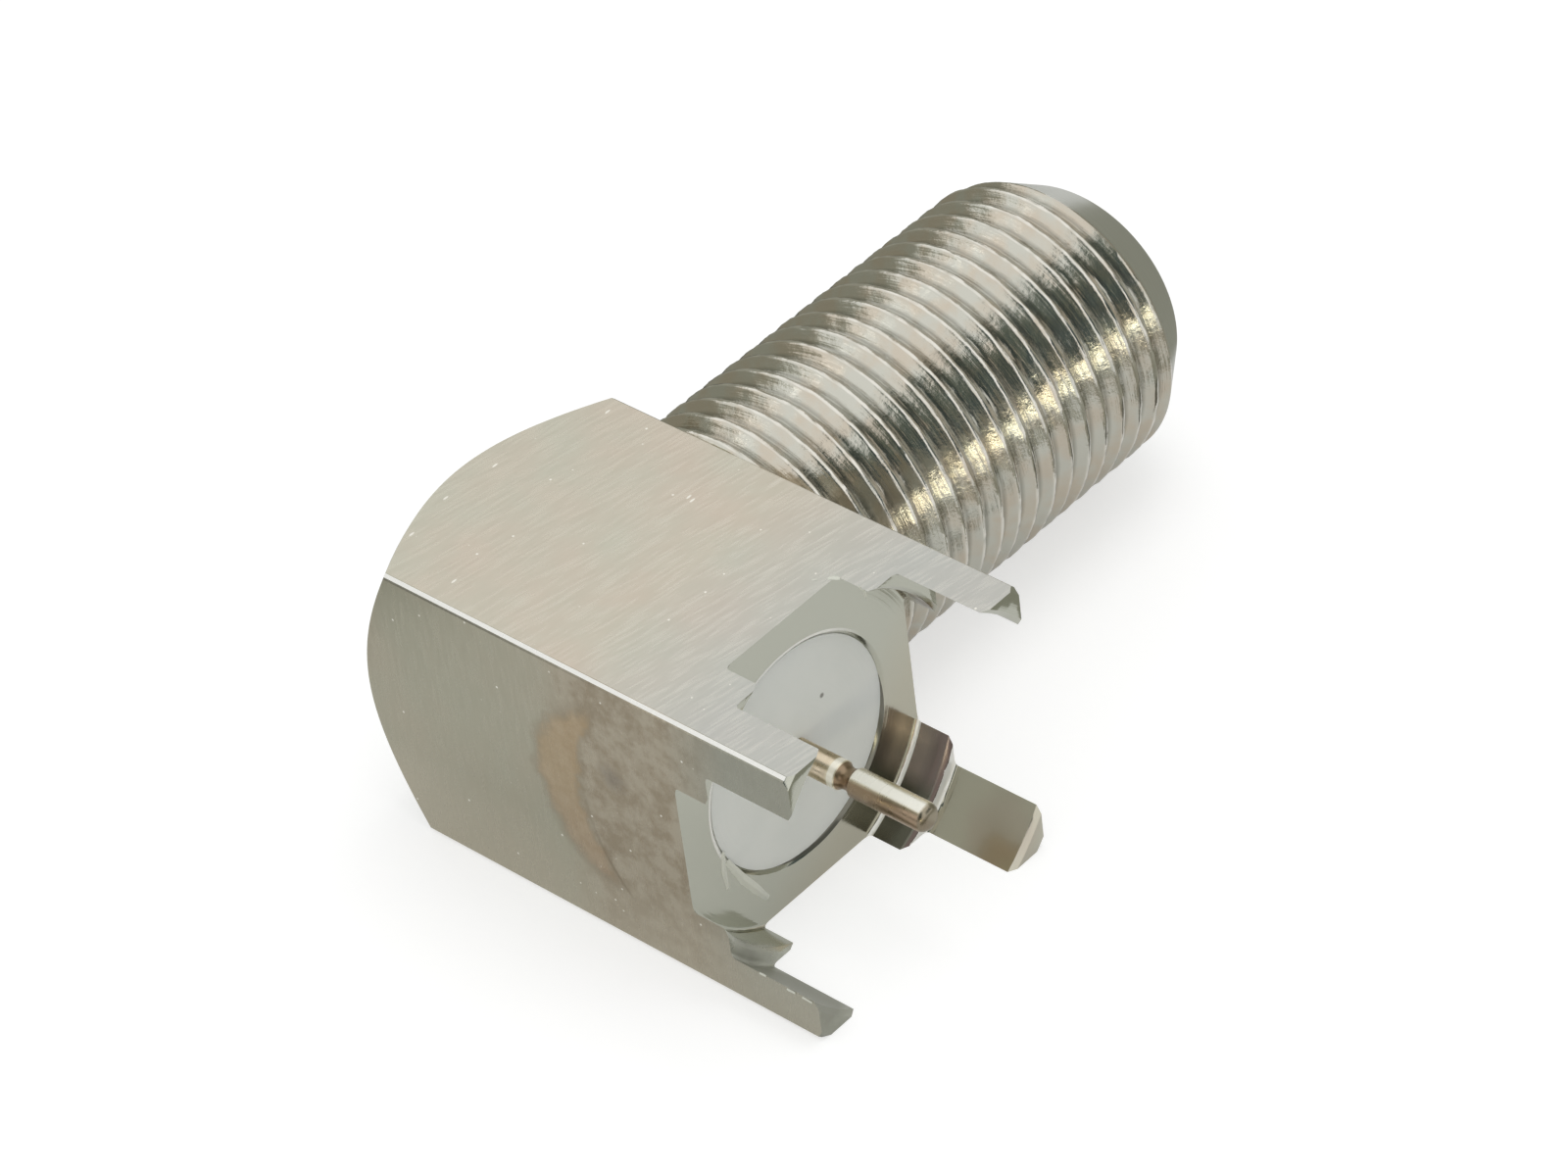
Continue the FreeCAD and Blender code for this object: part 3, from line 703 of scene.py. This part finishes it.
columns = add_node(tree, "ShaderNodeMath", {0: given["Segments"], 1: 1.0}, operation="ADD")
grid = add_node(tree, "GeometryNodeMeshGrid",
                {"Size X": 1.0, "Size Y": 1.0, "Vertices X": columns, "Vertices Y": given["Rows"]})
spot = add_node(tree, "ShaderNodeSeparateXYZ", {0: add_node(tree, "GeometryNodeInputPosition")})
turn = add_node(tree, "ShaderNodeMath", {0: spot.outputs["X"], 1: 0.5}, operation="ADD")
last_row = add_node(tree, "ShaderNodeMath", {0: given["Rows"], 1: 1.0}, operation="SUBTRACT")
row = add_node(tree, "ShaderNodeMath", {0: spot.outputs["Y"], 1: 0.5}, operation="ADD")
row = add_node(tree, "ShaderNodeMath", {0: row, 1: last_row}, operation="MULTIPLY")
climb = add_node(tree, "ShaderNodeMath", {0: turn, 1: 1.0}, operation="SUBTRACT")
climb = add_node(tree, "ShaderNodeMath", {0: climb, 1: given["Pitch"], 2: given["Start"]},
                 operation="MULTIPLY_ADD")
along = add_node(tree, "ShaderNodeMath", {0: row, 1: given["Row Spacing"], 2: climb},
                 operation="MULTIPLY_ADD")
along = add_node(tree, "ShaderNodeMath", {0: along, 1: given["Start"]}, operation="MAXIMUM")
along = add_node(tree, "ShaderNodeMath", {0: along, 1: given["End"]}, operation="MINIMUM")

# The ridge's section is read from how far round the turn a point is: 0 on a top, 0.5 below.
# Worn rolls have left the ridge a little wavy.
angle = add_node(tree, "ShaderNodeMath", {0: turn, 1: 2 * math.pi}, operation="MULTIPLY")
cosine = add_node(tree, "ShaderNodeMath", {0: angle}, operation="COSINE")
sine = add_node(tree, "ShaderNodeMath", {0: angle}, operation="SINE")
round_place = add_node(tree, "ShaderNodeCombineXYZ", {"X": cosine, "Y": along, "Z": sine})
round_place = add_node(tree, "ShaderNodeVectorMath",
                       {0: round_place, 1: (pattern_radius_mm, 1 / mm, pattern_radius_mm)},
                       operation="MULTIPLY")
wave = add_node(tree, "ShaderNodeTexNoise", {"Vector": round_place, "Scale": given["Waves"], "Detail": 2.0})
past_start = add_node(tree, "ShaderNodeMath", {0: along, 1: given["Start"]}, operation="SUBTRACT")
phase = add_node(tree, "ShaderNodeMath", {0: past_start, 1: given["Pitch"]}, operation="DIVIDE")
phase = add_node(tree, "ShaderNodeMath", {0: phase, 1: turn}, operation="SUBTRACT")
phase = add_node(tree, "ShaderNodeMath", {0: wave, 1: given["Wobble"], 2: phase}, operation="MULTIPLY_ADD")
phase = add_node(tree, "ShaderNodeMath", {0: phase, 1: 1.0, 2: 0.0}, operation="WRAP")
from_bottom = add_node(tree, "ShaderNodeMath", {0: phase, 1: 2.0, 2: -1.0}, operation="MULTIPLY_ADD")
from_bottom = add_node(tree, "ShaderNodeMath", {0: from_bottom}, operation="ABSOLUTE")
rise = add_node(tree, "ShaderNodeMapRange", {"Value": from_bottom, "From Max": given["Flank Share"]})
depth = add_node(tree, "ShaderNodeMath", {0: given["Top Radius"], 1: given["Bottom Radius"]},
                 operation="SUBTRACT")
radius = add_node(tree, "ShaderNodeMath", {0: rise, 1: depth, 2: given["Bottom Radius"]},
                  operation="MULTIPLY_ADD")
chamfer = add_node(tree, "ShaderNodeMath", {0: given["End"], 1: along}, operation="SUBTRACT")
chamfer = add_node(tree, "ShaderNodeMath", {0: chamfer, 1: given["End Slope"], 2: given["End Radius"]},
                   operation="MULTIPLY_ADD")

# Small dents and nicks make the tops uneven.
dents = add_node(tree, "ShaderNodeTexNoise", {
    "Vector": round_place, "Scale": given["Dents"], "Detail": 4.0, "Roughness": 0.7})
dents = add_node(tree, "ShaderNodeMapRange", {
    "Value": dents, "From Min": 0.35, "From Max": 0.65, "To Min": 1.0, "To Max": 0.0})
dents = add_node(tree, "ShaderNodeMath", {0: dents, 1: given["Dent Depth"]}, operation="MULTIPLY")
dents = add_node(tree, "ShaderNodeMath", {0: dents, 1: rise}, operation="MULTIPLY")
radius = add_node(tree, "ShaderNodeMath", {0: radius, 1: dents}, operation="SUBTRACT")
radius = add_node(tree, "ShaderNodeMath", {0: radius, 1: chamfer}, operation="MINIMUM")
first_row = add_node(tree, "ShaderNodeMath", {0: row, 1: 0.5}, operation="LESS_THAN")
radius = add_node(tree, "ShaderNodeMix", {0: first_row, 2: radius, 3: given["Start Radius"]},
                  data_type="FLOAT")

x = add_node(tree, "ShaderNodeMath", {0: radius, 1: cosine, 2: given["Axis X"]}, operation="MULTIPLY_ADD")
z = add_node(tree, "ShaderNodeMath", {0: radius, 1: sine}, operation="MULTIPLY")
point = add_node(tree, "ShaderNodeCombineXYZ", {"X": x, "Y": along, "Z": z})
wound = add_node(tree, "GeometryNodeSetPosition", {"Geometry": grid, "Position": point})
closed = add_node(tree, "GeometryNodeMergeByDistance", {"Geometry": wound, "Distance": given["Seam"]})
real = add_node(tree, "GeometryNodeRealizeInstances", {"Geometry": closed})
plated = add_node(tree, "GeometryNodeSetMaterial", {"Geometry": real, "Material": given["Metal"]})
add_node(tree, "NodeGroupOutput", {"Geometry": plated})

row_spacing_mm = thread_pitch_mm / rows_per_pitch
winding_inputs = {
    "Pitch": thread_pitch_mm * mm, "Top Radius": thread_top_mm * mm, "Bottom Radius": thread_bottom_mm * mm,
    "Start": thread_start_mm * mm, "End": thread_end_mm * mm, "Start Radius": spigot_radius_mm * mm,
    "End Radius": thread_end_radius_mm * mm, "End Slope": chamfer_slope,
    "Axis X": barrel_axis_x_mm * mm, "Row Spacing": row_spacing_mm * mm, "Flank Share": flank_share,
    "Seam": seam_mm * mm, "Waves": 1 / wave_mm, "Wobble": ridge_wobble, "Dents": 1 / dent_mm,
    "Dent Depth": dent_depth_mm * mm, "Segments": around, "Metal": bright_nickel,
    "Rows": math.ceil((thread_end_mm - thread_start_mm) / row_spacing_mm) + rows_per_pitch + 2}
thread = new_piece("thread", plain_mesh("thread", [], []), bright_nickel)
winding = thread.modifiers.new("winding", "NODES")
winding.node_group = tree
for item in tree.interface.items_tree:
    if item.in_out == "INPUT":
        winding[item.identifier] = winding_inputs[item.name]
as_plain_mesh(thread)

# The nose, the mouth, the bore and the spigot are turned from one outline of (along, radius).
nose_round_mm = 1.1
nose_round_centre_mm = (19.8215, 2.75)
round_steps = 12
mouth_radius_mm = 2.70
mouth_depth_mm = 0.8
bore_radius_mm = 3.20
spigot_end_mm = 1.85
outline = [(thread_end_mm, thread_end_radius_mm)]
for step in range(round_steps + 1):
    turn = math.radians(90 - chamfer_deg) * (1 - step / round_steps)
    outline.append((nose_round_centre_mm[0] + nose_round_mm * math.cos(turn),
                    nose_round_centre_mm[1] + nose_round_mm * math.sin(turn)))
mouth_mm = nose_round_centre_mm[0] + nose_round_mm
outline += [
    (mouth_mm, mouth_radius_mm), (mouth_mm - mouth_depth_mm, mouth_radius_mm),
    (mouth_mm - mouth_depth_mm, bore_radius_mm), (spigot_end_mm, bore_radius_mm),
    (spigot_end_mm, spigot_radius_mm), (thread_start_mm, spigot_radius_mm)]

# Where the ridge starts, the grid's two sides leave one open triangle, which is filled.
skin = bmesh.new()
skin.from_mesh(thread.data)
bpy.data.objects.remove(thread)
circles = []
for along, radius in outline:
    turns = [2 * math.pi * k / around for k in range(around)]
    points = [(barrel_axis_x_mm + radius * math.cos(t), along, radius * math.sin(t)) for t in turns]
    circles.append([skin.verts.new(Vector(point) * mm) for point in points])
for low, high in zip(circles, circles[1:]):
    for k in range(around):
        skin.faces.new((low[k], low[k - 1], high[k - 1], high[k]))
bmesh.ops.remove_doubles(skin, verts=skin.verts, dist=seam_mm * mm)
bmesh.ops.holes_fill(skin, edges=skin.edges, sides=3)
bmesh.ops.recalc_face_normals(skin, faces=skin.faces)
mesh = bpy.data.meshes.new("barrel")
skin.to_mesh(mesh)
skin.free()
mesh.polygons.foreach_set("use_smooth", [True] * len(mesh.polygons))
mesh.set_sharp_from_angle(angle=math.radians(sharp_edge_deg))
barrel = new_piece("barrel", mesh, bright_nickel)
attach(barrel, "root")
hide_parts("threaded_barrel")


# The white acetal: a disc that centres the solder pin, and the sleeve in the barrel that
# carries the contact. Both are turned from rod, and pressed in.
disc_ring_mm = 0.0909
disc_cloud_mm = 1.25
disc_speck_mm = (-1.33, 1.23, 1.18)
turned_edge_deg = 35

# Acetal is white and slightly see-through, and its turned faces show faint rings.
white_acetal, tree, surface = new_material("turned_white_acetal")
place = place_in_mm(tree)
axes = add_node(tree, "ShaderNodeSeparateXYZ", {0: place})
from_pin = add_node(tree, "ShaderNodeCombineXYZ", {"Y": axes.outputs["Y"], "Z": axes.outputs["Z"]})
from_pin = add_node(tree, "ShaderNodeVectorMath", {0: from_pin}, operation="LENGTH").outputs["Value"]
rings = add_node(tree, "ShaderNodeTexNoise", {"W": from_pin, "Scale": 1 / disc_ring_mm, "Detail": 2.0},
                 noise_dimensions="1D")
cloud = add_node(tree, "ShaderNodeTexNoise", {"Vector": place, "Scale": 1 / disc_cloud_mm, "Detail": 3.0})
base = add_node(tree, "ShaderNodeMix", {0: cloud, 6: colour("E3E6E0"), 7: colour("EDEEE8")},
                data_type="RGBA").outputs[2]
share = add_node(tree, "ShaderNodeVectorMath", {0: place, 1: disc_speck_mm},
                 operation="DISTANCE").outputs["Value"]
share = add_node(tree, "ShaderNodeMapRange", {
    "Value": share, "From Min": 0.05, "From Max": 0.10, "To Min": 0.8, "To Max": 0.0})
base = add_node(tree, "ShaderNodeMix", {0: share, 6: base, 7: colour("6F6A62")}, data_type="RGBA").outputs[2]
bump = add_node(tree, "ShaderNodeBump", {"Height": rings, "Strength": 0.2, "Distance": 0.02 * mm})
shader = add_node(tree, "ShaderNodeBsdfPrincipled", {
    "Base Color": base, "Roughness": 0.42, "Subsurface Weight": 0.25, "Subsurface Scale": 0.6 * mm,
    "Subsurface Radius": (1.0, 1.0, 1.0), "Normal": bump})
tree.links.new(shader.outputs[0], surface)

for name, node in (("disc", "pin_insulator"), ("sleeve", "barrel_insulator")):
    piece = merged_copy(name, node, white_acetal, turned_edge_deg)
    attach(piece, "root")
    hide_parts(node)


# The solder pin: turned brass under thin bright gold, pressed through the white disc, with a
# neck just past the ledges' plane. Its rim and neck are each a middle and half a width.
rim_highlight_mm = (0.21, 0.11)
neck_reflection_mm = (0.59, 0.24)
lower_side = (0.0, -0.77, -0.64)
highlight_band_mm = 0.19
tool_mark_mm = 0.2
tool_mark_length_mm = 0.667

# Gold this thin is pale, with tool marks round it. The shank is pinkish, and ends in a rim with a
# painted highlight. The neck and the side away from the barrel are painted brown, a painted dark
# reflection. The upper side has a band of painted highlight too, white with little metal, and the
# end is dull.
gold, tree, surface = new_material("thin_gold_plate")
place = place_in_mm(tree)
axes = add_node(tree, "ShaderNodeSeparateXYZ", {0: place})
tool_marks = (1 / tool_mark_mm, 1 / tool_mark_length_mm, 1 / tool_mark_length_mm)
marks = add_node(tree, "ShaderNodeVectorMath", {0: place, 1: tool_marks}, operation="MULTIPLY")
marks = add_node(tree, "ShaderNodeTexNoise", {"Vector": marks, "Scale": 1.0, "Detail": 3.0})
base = add_node(tree, "ShaderNodeMix", {0: marks, 6: colour("F0E7CA"), 7: colour("F3EAD2")},
                data_type="RGBA").outputs[2]
share = add_node(tree, "ShaderNodeMapRange", {
    "Value": axes.outputs["X"], "From Min": 0.0, "From Max": 0.15, "To Min": 1.0, "To Max": 0.0})
base = add_node(tree, "ShaderNodeMix", {0: share, 6: base, 7: colour("DFD0B6")}, data_type="RGBA").outputs[2]
downward = add_node(tree, "ShaderNodeVectorMath", {0: place, 1: lower_side}, operation="DOT_PRODUCT")
downward = downward.outputs["Value"]
# Painted dark reflection: the side away from the barrel is brown past the shank.
share = add_node(tree, "ShaderNodeMapRange", {
    "Value": downward, "From Min": -0.06, "From Max": 0.08, "To Max": 0.9})
lower_reflection_starts = add_node(tree, "ShaderNodeMapRange", {
    "Value": axes.outputs["X"], "From Min": 0.3, "From Max": 0.6})
share = add_node(tree, "ShaderNodeMath", {0: share, 1: lower_reflection_starts}, operation="MULTIPLY")
base = add_node(tree, "ShaderNodeMix", {0: share, 6: base, 7: colour("A58C74")}, data_type="RGBA").outputs[2]
# Painted highlight: a band along the upper side, white with little metal, not on the end.
bright = add_node(tree, "ShaderNodeMath", {0: downward, 1: highlight_band_mm}, operation="ADD")
bright = add_node(tree, "ShaderNodeMath", {0: bright}, operation="ABSOLUTE")
bright = add_node(tree, "ShaderNodeMapRange", {
    "Value": bright, "From Min": 0.12, "From Max": 0.20, "To Min": 1.0, "To Max": 0.0})
past_neck = add_node(tree, "ShaderNodeMapRange", {
    "Value": axes.outputs["X"], "From Min": 0.7, "From Max": 0.9})
bright = add_node(tree, "ShaderNodeMath", {0: bright, 1: past_neck}, operation="MULTIPLY")
on_end = add_node(tree, "ShaderNodeMapRange", {
    "Value": axes.outputs["X"], "From Min": 3.28, "From Max": 3.36})
bright = add_node(tree, "ShaderNodeMath", {0: bright, 1: on_end}, operation="SUBTRACT", use_clamp=True)
# Painted highlight: the rim at the shank's end.
middle, reach = rim_highlight_mm
rim = add_node(tree, "ShaderNodeMath", {0: axes.outputs["X"], 1: middle, 2: reach}, operation="COMPARE")
bright = add_node(tree, "ShaderNodeMath", {0: rim, 1: 0.7, 2: bright}, operation="MULTIPLY_ADD")
base = add_node(tree, "ShaderNodeMix", {0: bright, 6: base, 7: colour("FFFDF0")}, data_type="RGBA").outputs[2]
# Painted dark reflection: the neck is brown.
middle, reach = neck_reflection_mm
neck = add_node(tree, "ShaderNodeMath", {0: axes.outputs["X"], 1: middle, 2: reach}, operation="COMPARE")
share = add_node(tree, "ShaderNodeMath", {0: neck, 1: 0.85}, operation="MULTIPLY")
base = add_node(tree, "ShaderNodeMix", {0: share, 6: base, 7: colour("8A7055")}, data_type="RGBA").outputs[2]
share = add_node(tree, "ShaderNodeMath", {0: on_end, 1: 0.85}, operation="MULTIPLY")
base = add_node(tree, "ShaderNodeMix", {0: share, 6: base, 7: colour("8C8371")}, data_type="RGBA").outputs[2]
metal = add_node(tree, "ShaderNodeMath", {0: bright, 1: -1.0, 2: 1.0},
                 operation="MULTIPLY_ADD", use_clamp=True)
rough = add_node(tree, "ShaderNodeMapRange", {
    "Value": marks, "From Min": 0.3, "From Max": 0.7, "To Min": 0.24, "To Max": 0.36})
shader = add_node(tree, "ShaderNodeBsdfPrincipled",
                  {"Base Color": base, "Metallic": metal, "Roughness": rough})
tree.links.new(shader.outputs[0], surface)

pin = merged_copy("pin", "solder_pin", gold, turned_edge_deg)
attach(pin, "root")
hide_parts("solder_pin")


# The contact: a tinned bronze tube in the white sleeve, split at its front so that it grips the
# cable's core. Its tail is soldered into the pin.
tin_grain_mm = 0.4

# Tin plate is a soft grey white with a faint grain, drawn coarse enough to show.
tin, tree, surface = new_material("tin_plate")
grain = add_node(tree, "ShaderNodeTexNoise", {
    "Vector": place_in_mm(tree), "Scale": 1 / tin_grain_mm, "Detail": 3.0})
rough = add_node(tree, "ShaderNodeMapRange", {
    "Value": grain, "From Min": 0.3, "From Max": 0.7, "To Min": 0.28, "To Max": 0.42})
base = add_node(tree, "ShaderNodeMix", {0: grain, 6: colour("D8D5CE"), 7: colour("E3E1DA")},
                data_type="RGBA").outputs[2]
shader = add_node(tree, "ShaderNodeBsdfPrincipled", {"Base Color": base, "Metallic": 1.0, "Roughness": rough})
tree.links.new(shader.outputs[0], surface)

contact = merged_copy("contact", "centre_contact", tin, turned_edge_deg)
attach(contact, "root")
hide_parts("centre_contact")
